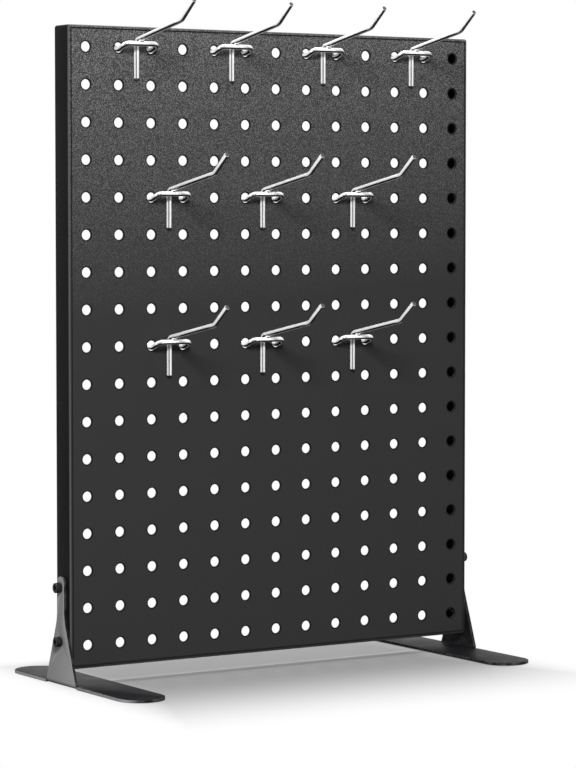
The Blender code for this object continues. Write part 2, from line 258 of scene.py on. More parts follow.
# %% Round the folds and give the sheet its thickness
SHEET = 0.0012
FOLD_RADIUS = 0.0017
apply_modifier(
    board,
    "BEVEL",
    width=FOLD_RADIUS,
    segments=5,
    limit_method="ANGLE",
    angle_limit=math.radians(60),
)
apply_modifier(board, "SOLIDIFY", thickness=SHEET, offset=-1, use_even_offset=True)
print("faces with thickness:", len(board.data.polygons))

# %% Break the sharp front edge of every hole
RIM_BREAK = 0.00025


def nearest_hole(point):
    """Centre of the hole that lies nearest to a point of the sheet."""
    column = round((point.x - first_hole.x) / HOLE_PITCH)
    row = round((point.z - first_hole.z) / HOLE_PITCH)
    return first_hole + Vector((column * HOLE_PITCH, 0, row * HOLE_PITCH))


def on_front_hole_rim(point):
    """True on the front edge of a hole."""
    away = point - nearest_hole(point)
    return abs(away.y) < TOUCH and abs(math.hypot(away.x, away.z) - HOLE_RADIUS) < TOUCH


edit(board)
print("hole rim edges:", pick(board, "EDGE", both_ends(on_front_hole_rim)))
bpy.ops.mesh.bevel(offset=RIM_BREAK, segments=1, affect="EDGES")
close_edit()

# %% [markdown]
# The flanges need four screw holes, two on each side. Where two lips meet in a corner, a real folded
# sheet has a mitre gap, because the lips were flat tongues before they were folded. Both are small cuts,
# so here a Boolean is the plain choice.

# %% Screw holes and mitre gaps
SCREW_HEIGHTS = {"upper": 0.0674, "lower": 0.0304}
SCREW_HOLE_RADIUS = 0.00235
MITRE_GAP = 0.0008
MITRE_LENGTH = 0.014
MITRE_SHIFT = 0.65 * MITRE_LENGTH
QUARTER_TURN = math.pi / 2
flange_middle = board_middle.y


def drill(x, z, depth):
    """A cylinder that lies along X, ready to be cut out of a flange or a tab."""
    bpy.ops.object.select_all(action="DESELECT")
    bpy.ops.mesh.primitive_cylinder_add(
        vertices=32,
        radius=SCREW_HOLE_RADIUS,
        depth=depth,
        location=(x, flange_middle, z),
        rotation=(0, QUARTER_TURN, 0),
    )
    return start_piece("drill")


def mitre_cutter(across, up):
    """A thin upright slab that runs from a rear corner of the board towards its middle."""
    place = Vector((across * half_width, board_high.y, board_middle.z + up * half_height))
    place += Vector((-across, 0, -up)).normalized() * MITRE_SHIFT
    turn = across * up * QUARTER_TURN / 2
    bpy.ops.object.select_all(action="DESELECT")
    bpy.ops.mesh.primitive_cube_add(size=1, location=place, rotation=(0, turn, 0))
    slab = bpy.context.object
    slab.scale = (MITRE_GAP, 2 * SHEET + 4 * TOUCH, MITRE_LENGTH)
    return start_piece("mitre_slab")


for side in (-1, 1):
    for height in SCREW_HEIGHTS.values():
        cut_away(board, drill(side * half_width, height, 4 * SHEET))
    for up in (-1, 1):
        cut_away(board, mitre_cutter(side, up))
shade(board, 30)
print("finished board:", len(board.data.polygons), "faces")

# %% [markdown]
# ## The bent feet
#
# Each foot is cut from one steel plate: a long sole with round ends, and a tapered tab that is bent up
# beside it. The outer skin is modelled first as an open sheet. The spin operator makes the bend, as a
# press brake does, and Solidify then gives the plate its 2 mm. Two short relief notches end the bend, so
# the plate could really be folded there. A narrow flat strip is cut on each side of the bend, so that the
# smooth shading of the bend doesn't spread over the large flat faces.

# %% The sole, a plate with full-round ends
FOOT_SHEET = 0.002
BEND_RADIUS = 0.003
TAB_BASE = 0.0412
TAB_WIDTH = 0.010
TAB_NECK = 0.046
TAB_TOP = 0.075
NOTCH = 0.0012
FLAT_STRIP = 0.0009


def sole_skin(side, name):
    """The underside of one sole, with a vertex bevel for each round end."""
    low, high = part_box(name)
    middle = Vector(((low.x + high.x) / 2, (low.y + high.y) / 2, 0))
    width, length = high.x - low.x, high.y - low.y
    bpy.ops.object.select_all(action="DESELECT")
    bpy.ops.mesh.primitive_plane_add(size=1, location=middle)
    skin = start_piece(name.replace("foot", "bent_foot"))
    edit(skin)
    bpy.ops.transform.resize(value=(width, length, 1), center_override=middle)
    bpy.ops.mesh.bevel(offset=width / 2 - TOUCH / 4, segments=20, affect="VERTICES", profile=0.5)
    bpy.ops.mesh.select_all(action="SELECT")
    bpy.ops.mesh.remove_doubles(threshold=TOUCH)
    return skin


def split_at(place, direction):
    """Cuts an edge across everything, where a plane meets it."""
    bpy.ops.mesh.select_all(action="SELECT")
    bpy.ops.mesh.bisect(plane_co=place, plane_no=direction)


# %% The tab, bent up from the sole
def bend_tab(skin, side, outer_x):
    """Frees the strip beside the tab with two notches, spins the bend and extrudes the tab to its top."""
    bend_x = outer_x - side * BEND_RADIUS
    front_y = flange_middle - TAB_BASE / 2
    rear_y = flange_middle + TAB_BASE / 2
    split_at((bend_x, 0, 0), (1, 0, 0))
    for y in (front_y - NOTCH, front_y, rear_y, rear_y + NOTCH):
        split_at((0, y, 0), (0, 1, 0))

    def in_strip(face):
        centre = face.calc_center_median()
        return side * centre.x > side * bend_x and front_y - NOTCH < centre.y < rear_y + NOTCH

    pick(skin, "FACE", in_strip)
    bpy.ops.mesh.delete(type="FACE")
    on_bend = both_ends(lambda p: abs(p.x - bend_x) < TOUCH and front_y - TOUCH < p.y < rear_y + TOUCH)
    pick(skin, "EDGE", on_bend)
    spin_by(Vector((bend_x, 0, BEND_RADIUS)), Vector((0, -side, 0)), QUARTER_TURN, 8)
    narrow(TAB_WIDTH / TAB_BASE, TAB_NECK - BEND_RADIUS)
    narrow(1, TAB_TOP - TAB_NECK)
    split_at((bend_x - side * FLAT_STRIP, 0, 0), (1, 0, 0))
    split_at((0, 0, BEND_RADIUS + FLAT_STRIP), (0, 0, 1))


def spin_by(centre, axis, angle, steps):
    """Spins the selected rim by the right-hand rule. Without a window the operator turns the other way."""
    bpy.ops.mesh.spin(steps=steps, angle=-angle, center=centre, axis=axis)


def narrow(share, rise):
    """Extrudes the tab's top edge upwards and makes it narrower about the flange's middle."""
    bpy.ops.mesh.extrude_region_move(TRANSFORM_OT_translate={"value": (0, 0, rise)})
    bpy.ops.transform.resize(value=(1, share, 1), center_override=(0, flange_middle, 0))


# %% Round its corners, thicken it and drill it
ROUND_NECK = 0.005
EDGE_BREAK = 0.0003


def finish_foot(skin, side, outer_x):
    """Rounds the tab's corners, then gives the open skin its thickness, holes and softened edges."""
    pick(
        skin,
        "EDGE",
        both_ends(lambda p: abs(p.x - outer_x) < TOUCH and abs(p.z - TAB_NECK) < TOUCH),
    )
    bpy.ops.mesh.dissolve_edges(use_verts=False)
    for height, size in ((TAB_TOP, TAB_WIDTH / 2 - TOUCH / 4), (TAB_NECK, ROUND_NECK)):
        pick(skin, "VERT", lambda corner: abs(corner.co.z - height) < TOUCH)
        bpy.ops.mesh.bevel(offset=size, segments=8, affect="VERTICES", profile=0.5)
    outward_normals()
    sole = max(bmesh.from_edit_mesh(skin.data).faces, key=lambda face: face.calc_area())
    if sole.normal.z > 0:
        bpy.ops.mesh.select_all(action="SELECT")
        bpy.ops.mesh.flip_normals()
    close_edit()
    apply_modifier(skin, "SOLIDIFY", thickness=FOOT_SHEET, offset=-1, use_even_offset=True)
    for height in SCREW_HEIGHTS.values():
        cut_away(skin, drill(outer_x, height, 4 * FOOT_SHEET))
    apply_modifier(
        skin,
        "BEVEL",
        width=EDGE_BREAK,
        segments=2,
        limit_method="ANGLE",
        angle_limit=math.radians(50),
    )
    shade(skin, 25)


feet = {}
for side, name in ((-1, "left_foot"), (1, "right_foot")):
    outer_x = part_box(name)[0 if side < 0 else 1].x
    foot = sole_skin(side, name)
    bend_tab(foot, side, outer_x)
    finish_foot(foot, side, outer_x)
    feet[name] = foot
    print(foot.name, len(foot.data.polygons), "faces")

# %% [markdown]
# ## Screws and nuts
#
# The screws are M4 socket heads. A lathe makes them, and here a disc is extruded from ring to ring, with
# each ring scaled to its radius. The knurl is every second side edge of the head pressed in a little. At
# this size the thread can be plain rings: nobody sees that they don't climb.

# %% A lathe made of extrusions
def turned(name, rings, sides):
    """A closed turned piece along +Z, from pairs of radius and height."""
    radius, height = rings[0]
    bpy.ops.object.select_all(action="DESELECT")
    bpy.ops.mesh.primitive_circle_add(
        vertices=sides, radius=radius, fill_type="NGON", location=(0, 0, height)
    )
    piece = start_piece(name)
    edit(piece)
    for next_radius, next_height in rings[1:]:
        bpy.ops.mesh.extrude_region_move(
            TRANSFORM_OT_translate={"value": (0, 0, next_height - height)}
        )
        share = next_radius / radius
        bpy.ops.transform.resize(value=(share, share, 1), center_override=(0, 0, next_height))
        radius, height = next_radius, next_height
    outward_normals()
    close_edit()
    return piece


def put(piece, place, side):
    """Lays a turned piece along X with its +Z end outwards, and puts that place into the mesh."""
    piece.rotation_euler = (0, side * QUARTER_TURN, 0)
    piece.location = place
    only(piece)
    bpy.ops.object.transform_apply(location=True, rotation=True, scale=True)
    return piece


# %% The screw
HEAD_RADIUS = 0.0035
HEAD_HEIGHT = 0.004
SHANK_RADIUS = 0.002
SHANK_LENGTH = 0.010
THREAD_PITCH = 0.0007
THREAD_DEPTH = 0.0003
SOCKET_FLATS = 0.003
SOCKET_DEPTH = 0.002
SMALL_CHAMFER = 0.0004
KNURLS = 36
KNURL_SHARE = 0.96


def thread_rings():
    """Radius and height along the shank, from its end up to the plain neck under the head."""
    rings = [(SHANK_RADIUS - SMALL_CHAMFER, -SHANK_LENGTH)]
    height = -SHANK_LENGTH + SMALL_CHAMFER
    while height < -2 * THREAD_PITCH:
        rings.append((SHANK_RADIUS, height))
        rings.append((SHANK_RADIUS - THREAD_DEPTH, height + THREAD_PITCH / 2))
        height += THREAD_PITCH
    return rings + [(SHANK_RADIUS, height), (SHANK_RADIUS, 0)]


head_rings = [
    (HEAD_RADIUS - SMALL_CHAMFER / 2, 0),
    (HEAD_RADIUS, SMALL_CHAMFER / 2),
    (HEAD_RADIUS, HEAD_HEIGHT - SMALL_CHAMFER),
    (HEAD_RADIUS - SMALL_CHAMFER / 3, HEAD_HEIGHT - SMALL_CHAMFER / 3),
    (HEAD_RADIUS - SMALL_CHAMFER, HEAD_HEIGHT),
]
screw = turned("cap_screw", thread_rings() + head_rings, 2 * KNURLS)
edit(screw)


def knurl_valley(edge):
    """Every second side edge of the head."""
    first, last = (corner.co for corner in edge.verts)
    if min(first.z, last.z) < TOUCH or abs(first.z - last.z) < HEAD_HEIGHT / 2:
        return False
    step = round(math.atan2(first.y, first.x) / (math.pi / KNURLS))
    return step % 2 == 0


print("knurl valleys:", pick(screw, "EDGE", knurl_valley))
bpy.ops.transform.resize(value=(KNURL_SHARE, KNURL_SHARE, 1), center_override=(0, 0, 0))
close_edit()
bpy.ops.object.select_all(action="DESELECT")
bpy.ops.mesh.primitive_cylinder_add(
    vertices=6,
    radius=SOCKET_FLATS / 2 / math.cos(math.pi / 6),
    depth=2 * SOCKET_DEPTH,
    location=(0, 0, HEAD_HEIGHT),
)
cut_away(screw, start_piece("socket"))
shade(screw, 25)

# %% The nut
NUT_FLATS = 0.007
NUT_HEIGHT = 0.0032
NUT_CHAMFER = 0.0004
NUT_CORNER = NUT_FLATS / 2 / math.cos(math.pi / 6)
BORE_RADIUS = 0.0021

bpy.ops.object.select_all(action="DESELECT")
bpy.ops.mesh.primitive_cylinder_add(vertices=6, radius=NUT_CORNER, depth=NUT_HEIGHT)
nut = start_piece("hex_nut")
barrel_rings = [
    (NUT_FLATS / 2 - NUT_CHAMFER / 4, -NUT_HEIGHT / 2 - TOUCH),
    (NUT_CORNER + NUT_CHAMFER / 4, -NUT_HEIGHT / 2 + NUT_CHAMFER),
    (NUT_CORNER + NUT_CHAMFER / 4, NUT_HEIGHT / 2 - NUT_CHAMFER),
    (NUT_FLATS / 2 - NUT_CHAMFER / 4, NUT_HEIGHT / 2 + TOUCH),
]
cut_away(nut, turned("barrel", barrel_rings, 48), "INTERSECT")
bore_rings = [
    (BORE_RADIUS + NUT_CHAMFER, -NUT_HEIGHT / 2 - TOUCH),
    (BORE_RADIUS, -NUT_HEIGHT / 2 + NUT_CHAMFER),
    (BORE_RADIUS, NUT_HEIGHT / 2 - NUT_CHAMFER),
    (BORE_RADIUS + NUT_CHAMFER, NUT_HEIGHT / 2 + TOUCH),
]
cut_away(nut, turned("bore", bore_rings, 32))
shade(nut, 25)
print("screw and nut:", len(screw.data.polygons), len(nut.data.polygons), "faces")

# %% Four of each, in their holes
def copy_of(piece, name):
    """A copy with a mesh of its own."""
    only(piece)
    bpy.ops.object.duplicate(linked=False)
    copy = bpy.context.object
    copy.name = name
    copy.data.name = name
    return copy


fasteners = {}
for side, side_name in ((-1, "left"), (1, "right")):
    for level, height in SCREW_HEIGHTS.items():
        for pattern, kind in ((screw, "screw"), (nut, "nut")):
            node = f"{side_name}_{level}_{kind}"
            low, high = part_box(node)
            if kind == "screw":
                seat = high.x - HEAD_HEIGHT if side > 0 else low.x + HEAD_HEIGHT
            else:
                seat = (low.x + high.x) / 2
            made = copy_of(pattern, node.replace("screw", "cap_screw").replace("nut", "hex_nut"))
            put(made, Vector((seat, flange_middle, height)), side)
            fasteners[node] = made
for pattern in (screw, nut):
    bpy.data.objects.remove(pattern)
print("fasteners:", len(fasteners))

# %% [markdown]
# ## The wire hooks
#
# Each hook is two pieces of chromed wire. A wire bender feeds the wire straight and bends it round a pin,
# and the script does the same: a ring of vertices is extruded for each straight run and spun round a
# centre for each bend. A curve with a bevel would also make a wire, but the operators leave a clean mesh
# at once. The hook is modelled about its own tilt axis and then copied to each pair of holes.

# %% A wire bender
WIRE_RADIUS = 0.00175
WIRE_SIDES = 20
CUT_CHAMFER = 0.0007
tool = {}


def start_wire(name, place, direction):
    """Puts a ring of vertices at a wire's end, square to the direction in which the wire will run."""
    bpy.ops.object.select_all(action="DESELECT")
    bpy.ops.mesh.primitive_circle_add(
        vertices=WIRE_SIDES,
        radius=WIRE_RADIUS,
        location=place,
        rotation=direction.to_track_quat("Z", "Y").to_euler(),
    )
    tool["wire"] = start_piece(name)
    tool["place"], tool["way"] = Vector(place), direction.normalized()
    edit(tool["wire"])


def run_on(length):
    """Extrudes the wire straight ahead."""
    step = tool["way"] * length
    bpy.ops.mesh.extrude_region_move(TRANSFORM_OT_translate={"value": step})
    tool["place"] = tool["place"] + step


def bend_towards(inward, radius, angle, steps):
    """Spins the wire's end round a centre that lies to one side of it."""
    inward = inward.normalized()
    centre = tool["place"] + inward * radius
    axis = tool["way"].cross(inward)
    spin_by(centre, axis, angle, steps)
    ahead = tool["way"] * math.sin(angle) * radius
    tool["place"] = tool["place"] + ahead + inward * (1 - math.cos(angle)) * radius
    tool["way"] = tool["way"] * math.cos(angle) + inward * math.sin(angle)


def end_wire():
    """Closes both ends and breaks the edges that the cutter left."""
    bpy.ops.mesh.select_all(action="SELECT")
    bpy.ops.mesh.fill_holes(sides=0)
    outward_normals()
    pick(tool["wire"], "FACE", lambda face: len(face.verts) == WIRE_SIDES)
    bpy.ops.mesh.bevel(offset=CUT_CHAMFER, segments=3, affect="EDGES")
    close_edit()
    shade(tool["wire"], 50)
    return tool["wire"]


# %% The crossbar, from one prong to the other
ARC_RADIUS = 0.013
REAR_ARC = math.radians(56)
FRONT_ARC = math.radians(31)
BAR_BEND = 0.0035


def around(angle):
    """A point on the prongs' circle, and the way forward there, at an angle behind the lowest point."""
    place = Vector((-HOLE_PITCH / 2, ARC_RADIUS * math.sin(angle), -ARC_RADIUS * math.cos(angle)))
    return place, Vector((0, -math.cos(angle), -math.sin(angle)))


start_wire("hook_bar", *around(REAR_ARC))
towards_axis = Vector((0, 0, 0)) - tool["place"]
towards_axis.x = 0
bend_towards(towards_axis, ARC_RADIUS, REAR_ARC + FRONT_ARC, 16)
bend_towards(Vector((1, 0, 0)), BAR_BEND, QUARTER_TURN, 8)
run_on(HOLE_PITCH - 2 * BAR_BEND)
bend_towards(-around(-FRONT_ARC)[1], BAR_BEND, QUARTER_TURN, 8)
towards_axis = Vector((0, 0, 0)) - tool["place"]
towards_axis.x = 0
bend_towards(towards_axis, ARC_RADIUS, REAR_ARC + FRONT_ARC, 16)
bar = end_wire()
print("crossbar:", len(bar.data.polygons), "faces, ends at", [round(v * 1000, 1) for v in tool["place"]])

# %% The arm, from the leg to the tip
LEG_PLACE = Vector((0, -0.00275, -0.033116))
SHOULDER_HEIGHT = -0.006707
SHOULDER_BEND = 0.004
ARM_RISE = math.radians(10)
ARM_LENGTH = 0.061
TIP_RISE = math.radians(38)
TIP_LENGTH = 0.0206
TIP_BEND = 0.009
shoulder_turn = QUARTER_TURN - ARM_RISE
tip_turn = TIP_RISE - ARM_RISE
shoulder_cut = SHOULDER_BEND * math.tan(shoulder_turn / 2)
tip_cut = TIP_BEND * math.tan(tip_turn / 2)

start_wire("hook_arm", LEG_PLACE, Vector((0, 0, 1)))
run_on(SHOULDER_HEIGHT - LEG_PLACE.z - shoulder_cut)
bend_towards(Vector((0, -1, 0)), SHOULDER_BEND, shoulder_turn, 8)
run_on(ARM_LENGTH - shoulder_cut - tip_cut)
bend_towards(Vector((0, math.sin(ARM_RISE), math.cos(ARM_RISE))), TIP_BEND, tip_turn, 6)
run_on(TIP_LENGTH - tip_cut)
arm = end_wire()
print("arm:", len(arm.data.polygons), "faces, tip at", [round(v * 1000, 1) for v in tool["place"]])

# %% [markdown]
# Where the wires cross, a resistance welder squeezes them together and a little metal swells out. A
# flattened ball, pushed a little out of true and smoothed, is enough for that.

# %% The weld between them
BAR_CENTRE = Vector((0, -0.009696, -0.009341))
WELD_SIZE = Vector((0.0021, 0.0021, 0.0012))
WELD_LIFT = 0.00193
WELD_LUMPS = 0.00009
weld_place = BAR_CENTRE + Vector((0, 0, WELD_LIFT))
bpy.ops.object.select_all(action="DESELECT")
bpy.ops.mesh.primitive_uv_sphere_add(segments=16, ring_count=10, radius=1, location=weld_place)
weld = start_piece("hook_weld")
edit(weld)
bpy.ops.transform.resize(value=WELD_SIZE, center_override=weld_place)
bpy.ops.transform.vertex_random(offset=WELD_LUMPS, seed=7)
close_edit()
apply_modifier(weld, "SUBSURF", levels=1, render_levels=1)
shade(weld, 60)
print("weld:", len(weld.data.polygons), "faces")

# %% Ten hooks, each on its own tilt axis
hooks = {}
for joint in frame["joints"]:
    name = joint["name"].replace("_tilt", "")
    low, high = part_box(name + "_crossbar")
    axis_place = Vector(
        (
            (low.x + high.x) / 2,
            board_low.y + SHEET / 2,
            low.z + ARC_RADIUS + WIRE_RADIUS,
        )
    )
    for pattern, kind in ((bar, "bar"), (arm, "wire"), (weld, "weld")):
        made = copy_of(pattern, f"{name}_{kind}")
        made.location = axis_place
        only(made)
        bpy.ops.object.transform_apply(location=True, rotation=True, scale=True)
        hooks[made.name] = made
for pattern in (bar, arm, weld):
    bpy.data.objects.remove(pattern)
print("hook pieces:", len(hooks))

# %% [markdown]
# ## Finishes
#
# A finish is built from shader nodes that read Object coordinates, so it has its real size in metres and
# doesn't slide. Every finish adds nodes, stretches ranges and combines masks, so helpers for that come
# first. A mask is a number from 0 to 1 that says how much of something shows at a point.

# %% Helpers for node trees
def add(tree, kind, **settings):
    """A node with some of its inputs or properties set."""
    node = tree.nodes.new(kind)
    for name, value in settings.items():
        if name in node.inputs:
            node.inputs[name].default_value = value
        else:
            setattr(node, name, value)
    return node


def remap(tree, source, limits, results=(0, 1), kind="LINEAR"):
    """Stretches a range of values to another and clips what lies outside it."""
    node = add(tree, "ShaderNodeMapRange", interpolation_type=kind)
    for socket, value in zip(node.inputs[1:5], (*limits, *results)):
        socket.default_value = value
    tree.links.new(source, node.inputs["Value"])
    return node.outputs["Result"]


def combined(tree, operation, first, second):
    """Two values put together by one step of arithmetic."""
    node = add(tree, "ShaderNodeMath", operation=operation)
    tree.links.new(first, node.inputs[0])
    tree.links.new(second, node.inputs[1])
    return node.outputs["Value"]


def product(tree, first, second):
    """Two masks multiplied, so that both have to be there."""
    return combined(tree, "MULTIPLY", first, second)


def larger(tree, first, second):
    """The larger of two masks, so that one of them is enough."""
    return combined(tree, "MAXIMUM", first, second)


def near_value(tree, source, middle, reach):
    """A mask that is 1 where a value lies within reach of another."""
    node = add(tree, "ShaderNodeMath", operation="COMPARE")
    tree.links.new(source, node.inputs[0])
    node.inputs[1].default_value = middle
    node.inputs[2].default_value = reach
    return node.outputs["Value"]


def axis_of(tree, vector, name):
    """One of the three numbers of a vector."""
    split = tree.nodes.new("ShaderNodeSeparateXYZ")
    tree.links.new(vector, split.inputs["Vector"])
    return split.outputs[name]


def along(tree, vector, way):
    """How far a vector reaches in one direction."""
    node = add(tree, "ShaderNodeVectorMath", operation="DOT_PRODUCT")
    tree.links.new(vector, node.inputs[0])
    node.inputs[1].default_value = way
    return node.outputs["Value"]


print("node helpers ready")

# %% Helpers for colours
def colours_among(sockets):
    """The colour sockets of a Mix node, which also has some for numbers and vectors."""
    return [socket for socket in sockets if socket.type == "RGBA"]


def blend_colours(tree, mask, dark, light):
    """A colour between two, chosen by a mask or by another value."""
    mix = add(tree, "ShaderNodeMix", data_type="RGBA")
    for socket, colour in zip(colours_among(mix.inputs), (dark, light)):
        socket.default_value = (*colour, 1)
    tree.links.new(mask, mix.inputs["Factor"])
    return colours_among(mix.outputs)[0]


def blend_over(tree, mask, below, colour):
    """Lays a plain colour over another colour's socket where the mask is 1."""
    blended = blend_colours(tree, mask, colour, colour)
    tree.links.new(below, colours_among(blended.node.inputs)[0])
    return blended


print("colour helpers ready")

# %% [markdown]
# Effects that several finishes share are node groups: fine grain, handling marks and rubbed edges. A
# group is built once, gives out only masks and heights, and each material decides what they change. Grain
# is cloudy noise at the size of the pebbles in baked paint. Handling marks are the same noise, many times
# larger. Rubbed edges come from Pointiness, which knows where a mesh bends outwards.

# %% Shared effects as node groups
HIGH_SPOTS = (0.46, 0.66)
PATCHES = (0.35, 0.68)
OUTER_EDGES = (0.53, 0.62)
EDGE_BREAKS = (0.40, 0.60)


def new_group(name, inputs, outputs):
    """An empty shader node group with named inputs and outputs."""
    group = bpy.data.node_groups.new(name, "ShaderNodeTree")
    for socket, kind, value in inputs:
        made = group.interface.new_socket(name=socket, in_out="INPUT", socket_type=kind)
        if value is not None:
            made.default_value = value
    for socket in outputs:
        group.interface.new_socket(name=socket, in_out="OUTPUT", socket_type="NodeSocketFloat")
    return group, group.nodes.new("NodeGroupInput"), group.nodes.new("NodeGroupOutput")


def noise_group(name, scale, outputs, **settings):
    """A group that starts with a noise, at a scale that each material can set."""
    inputs = [("Vector", "NodeSocketVector", None), ("Scale", "NodeSocketFloat", scale)]
    group, given, result = new_group(name, inputs, outputs)
    noise = add(group, "ShaderNodeTexNoise", **settings)
    for socket in ("Vector", "Scale"):
        group.links.new(given.outputs[socket], noise.inputs[socket])
    return group, noise.outputs["Fac"], result


def fine_grain_group():
    """The pebbled skin of a baked coating: a height and a mask of its high spots."""
    outputs = ["Height", "High spots"]
    group, noise, result = noise_group("fine_grain", 700.0, outputs, Detail=2.5, Roughness=0.6)
    group.links.new(noise, result.inputs["Height"])
    group.links.new(remap(group, noise, HIGH_SPOTS), result.inputs["High spots"])
    return group


def handling_marks_group():
    """Broad soft patches left by hands and wiping."""
    cloudy = {"Detail": 4.0, "Roughness": 0.55, "Distortion": 0.4}
    group, noise, result = noise_group("handling_marks", 14.0, ["Patches"], **cloudy)
    group.links.new(remap(group, noise, PATCHES), result.inputs["Patches"])
    return group


def rubbed_edges_group():
    """A mask of the outer edges, where coating is thinner and gets rubbed."""
    group, noise, result = noise_group("rubbed_edges", 260.0, ["Edges"], Detail=3.0)
    pointiness = group.nodes.new("ShaderNodeNewGeometry").outputs["Pointiness"]
    rubbed = product(group, remap(group, pointiness, OUTER_EDGES), remap(group, noise, EDGE_BREAKS))
    group.links.new(rubbed, result.inputs["Edges"])
    return group


fine_grain = fine_grain_group()
handling_marks = handling_marks_group()
rubbed_edges = rubbed_edges_group()
print("groups:", [g.name for g in bpy.data.node_groups])

# %% A material to start from
def new_material(name, roughness, metallic=0.0, specular=0.5):
    """A Principled material, with what is the same all over set on its own sockets."""
    material = bpy.data.materials.new(name)
    material.use_nodes = True
    tree = material.node_tree
    shader = tree.nodes["Principled BSDF"]
    shader.inputs["Roughness"].default_value = roughness
    shader.inputs["Metallic"].default_value = metallic
    shader.inputs["Specular IOR Level"].default_value = specular
    place = tree.nodes.new("ShaderNodeTexCoord").outputs["Object"]
    return material, tree, shader, place


def use_group(tree, group, place, **values):
    """Places a shared effect in a material, with this material's own values."""
    node = add(tree, "ShaderNodeGroup", node_tree=group)
    tree.links.new(place, node.inputs["Vector"])
    for name, value in values.items():
        node.inputs[name].default_value = value
    return node


def cloudy_gloss(tree, shader, place, scale, limits):
    """Lets the roughness wander between two values, in patches, and hands back the mask of the patches."""
    patches = use_group(tree, handling_marks, place, Scale=scale).outputs["Patches"]
    tree.links.new(remap(tree, patches, (0, 1), limits), shader.inputs["Roughness"])
    return patches


def pebbled(tree, shader, grain, strength, depth):
    """Turns the height of the grain into relief."""
    bump = add(tree, "ShaderNodeBump", Strength=strength, Distance=depth)
    tree.links.new(grain.outputs["Height"], bump.inputs["Height"])
    tree.links.new(bump.outputs["Normal"], shader.inputs["Normal"])


print("every finish starts from a Principled shader")

# %% [markdown]
# The board has a black powder coat. In the photograph its grain is large and light at the top and runs
# out downwards; here those light grain spots are real grain with a painted sheen, strongest at the top.
# The folded edge gets a painted highlight with a painted shade line beside it, the sides get painted
# shade that makes them nearly black, and each hole gets a ring of painted shade. Each of these is a mask:
# of the height on the board, of the direction in which the surface faces, or of the distance from a side
# or from the middle of a hole.

# %% Where a point of the board lies
def distance_from_hole(tree, place):
    """How far a point of the sheet lies from the middle of its nearest hole, seen from the front."""
    half = HOLE_PITCH / 2
    shifted = add(tree, "ShaderNodeVectorMath", operation="SUBTRACT")
    tree.links.new(place, shifted.inputs[0])
    shifted.inputs[1].default_value = (first_hole.x, 0, first_hole.z)
    wrapped = add(tree, "ShaderNodeVectorMath", operation="WRAP")
    tree.links.new(shifted.outputs["Vector"], wrapped.inputs[0])
    wrapped.inputs[1].default_value = (half, half, half)
    wrapped.inputs[2].default_value = (-half, -half, -half)
    flat = add(tree, "ShaderNodeVectorMath", operation="MULTIPLY")
    tree.links.new(wrapped.outputs["Vector"], flat.inputs[0])
    flat.inputs[1].default_value = (1, 0, 1)
    far = add(tree, "ShaderNodeVectorMath", operation="LENGTH")
    tree.links.new(flat.outputs["Vector"], far.inputs[0])
    return far.outputs["Value"]


def size_of(tree, value):
    """A value without its sign."""
    node = add(tree, "ShaderNodeMath", operation="ABSOLUTE")
    tree.links.new(value, node.inputs[0])
    return node.outputs["Value"]


def distance_from_side(tree, place):
    """How far a point of the sheet lies from its nearest side, seen from the front."""
    gaps = []
    for name, middle, half in (("X", board_middle.x, half_width), ("Z", board_middle.z, half_height)):
        off = add(tree, "ShaderNodeMath", operation="SUBTRACT")
        tree.links.new(axis_of(tree, place, name), off.inputs[0])
        off.inputs[1].default_value = middle
        gap = add(tree, "ShaderNodeMath", operation="SUBTRACT")
        gap.inputs[0].default_value = half
        tree.links.new(size_of(tree, off.outputs["Value"]), gap.inputs[1])
        gaps.append(gap.outputs["Value"])
    return combined(tree, "MINIMUM", *gaps)


print("board measures ready")

# %% Grained black powder coat on the board
BOARD_BLACK = (0.025, 0.025, 0.026)
# light grain spots coloured with a painted sheen that is strongest at the top
BOARD_SHEEN_SPOTS = (0.185, 0.185, 0.188)
# painted shade that darkens the sides of the board
FLANGE_SHADE_BLACK = (0.006, 0.006, 0.007)
# painted highlight along the folds
FOLD_HIGHLIGHT_GREY = (0.066, 0.066, 0.068)
# painted shade line beside the fold
FOLD_SHADE_LINE = (0.009, 0.009, 0.009)
# painted shade ring round each hole
HOLE_RIM_SHADE = (0.008, 0.008, 0.008)
UP_AND_LEFT = (-0.08, 0, 1)
SHEEN_HEIGHTS = (0.26, 0.44)
SHEEN_SHARES = (0.02, 1)
FACES_FRONT = (-0.97, -0.80)
FACES_SIDE = 0
SIDE_REACH = 0.35
FACES_FOLD = -0.62
FOLD_REACH = 0.27
SHADE_LINE_FROM_SIDE = 0.0022
SHADE_LINE_REACH = 0.0005
RIM_SHADE_FADES = (0.0047, 0.0041)


